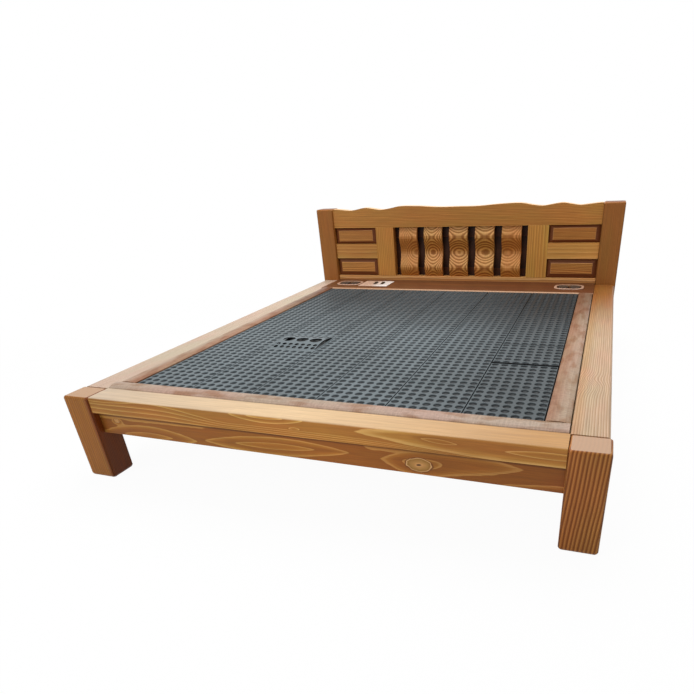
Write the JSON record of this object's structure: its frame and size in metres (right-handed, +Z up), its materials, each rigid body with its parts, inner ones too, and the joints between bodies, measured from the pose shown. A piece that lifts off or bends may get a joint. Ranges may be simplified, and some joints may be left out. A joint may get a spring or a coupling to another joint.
{
  "type": "heated bed",
  "caption": "Solid wood bedstead with a panelled headboard, a dimpled mat over electric heating panels, and controllers let into a deck at the head end.",
  "frame": {"origin": "on the floor, under the middle of the bed's outer length and width", "axes": "+X to the right as seen from the foot end looking at the headboard, +Y from the foot end to the headboard, +Z up"},
  "size_m": [1.876, 2.202, 0.7769],
  "materials": {
    "pine": "varnished",
    "pine_light": "varnished",
    "panel_wood": "varnished",
    "backing": "stained dark",
    "border_wood": "varnished",
    "deck_wood": "varnished",
    "mat_rubber": "satin",
    "heater": "matte",
    "insulation_felt": "matte",
    "plywood": "raw",
    "bezel": "metallic gloss",
    "face": "gloss",
    "key": "gloss",
    "plate": "gloss",
    "rocker": "gloss",
    "cable": "matte"
  },
  "bodies": {
    "bed": {"leg_front_left": "pine", "leg_front_right": "pine", "headboard_post_left": "pine", "headboard_post_right": "pine", "foot_rail": "pine_light", "side_rail_left": "pine_light", "side_rail_right": "pine_light", "headboard_top_rail": "pine", "headboard_bottom_rail": "pine", "headboard_stile_left": "pine_light", "headboard_stile_right": "pine_light", "headboard_mid_rail_left": "pine", "headboard_mid_rail_right": "pine", "panel_upper_left": "panel_wood", "panel_upper_right": "panel_wood", "panel_lower_left": "panel_wood", "panel_lower_right": "panel_wood", "wave_slat_1": "panel_wood", "wave_slat_2": "panel_wood", "wave_slat_3": "panel_wood", "wave_slat_4": "panel_wood", "wave_slat_5": "panel_wood", "headboard_back_board": "backing", "border_left": "border_wood", "border_right": "border_wood", "border_foot": "border_wood", "head_deck": "deck_wood", "mat_strip_1": "mat_rubber", "mat_strip_2_front": "mat_rubber", "mat_arched_tile": "mat_rubber", "mat_strip_2_rear": "mat_rubber", "mat_strip_3": "mat_rubber", "mat_strip_4": "mat_rubber", "mat_strip_5": "mat_rubber", "mat_strip_6_front": "mat_rubber", "mat_strip_6_rear": "mat_rubber", "heating_panel_left": "heater", "heating_panel_right": "heater", "insulation_board": "insulation_felt", "base_board_left": "plywood", "base_board_right": "plywood", "ledger_left": "pine", "ledger_right": "pine", "centre_beam": "pine", "centre_leg": "pine", "controller_housing_left": "bezel", "controller_face_left": "face", "controller_housing_right": "bezel", "controller_face_right": "face", "switch_plate": "plate", "power_inlet": "cable", "heater_lead_left": "cable", "heater_lead_right": "cable", "supply_lead": "cable"},
    "key_left_down": {"temperature_key_left_down": "key"},
    "key_left_up": {"temperature_key_left_up": "key"},
    "key_right_down": {"temperature_key_right_down": "key"},
    "key_right_up": {"temperature_key_right_up": "key"},
    "rocker_left": {"rocker_switch_left": "rocker"},
    "rocker_right": {"rocker_switch_right": "rocker"}
  },
  "joints": [
    {"name": "press_key_left_down", "type": "slide", "parent": "bed", "child": "key_left_down", "axis": [0, 0, -1], "range_m": [0, 0.0012], "stiffness_N_per_m": 300, "springref_m": -0.002},
    {"name": "press_key_left_up", "type": "slide", "parent": "bed", "child": "key_left_up", "axis": [0, 0, -1], "range_m": [0, 0.0012], "stiffness_N_per_m": 300, "springref_m": -0.002},
    {"name": "press_key_right_down", "type": "slide", "parent": "bed", "child": "key_right_down", "axis": [0, 0, -1], "range_m": [0, 0.0012], "stiffness_N_per_m": 300, "springref_m": -0.002},
    {"name": "press_key_right_up", "type": "slide", "parent": "bed", "child": "key_right_up", "axis": [0, 0, -1], "range_m": [0, 0.0012], "stiffness_N_per_m": 300, "springref_m": -0.002},
    {"name": "rock_switch_left", "type": "hinge", "parent": "bed", "child": "rocker_left", "pos_m": [-0.5085, 0.878, 0.3343], "axis": [-1, 0, 0], "range_deg": [0, 12]},
    {"name": "rock_switch_right", "type": "hinge", "parent": "bed", "child": "rocker_right", "pos_m": [-0.4615, 0.878, 0.3343], "axis": [-1, 0, 0], "range_deg": [0, 12]}
  ]
}
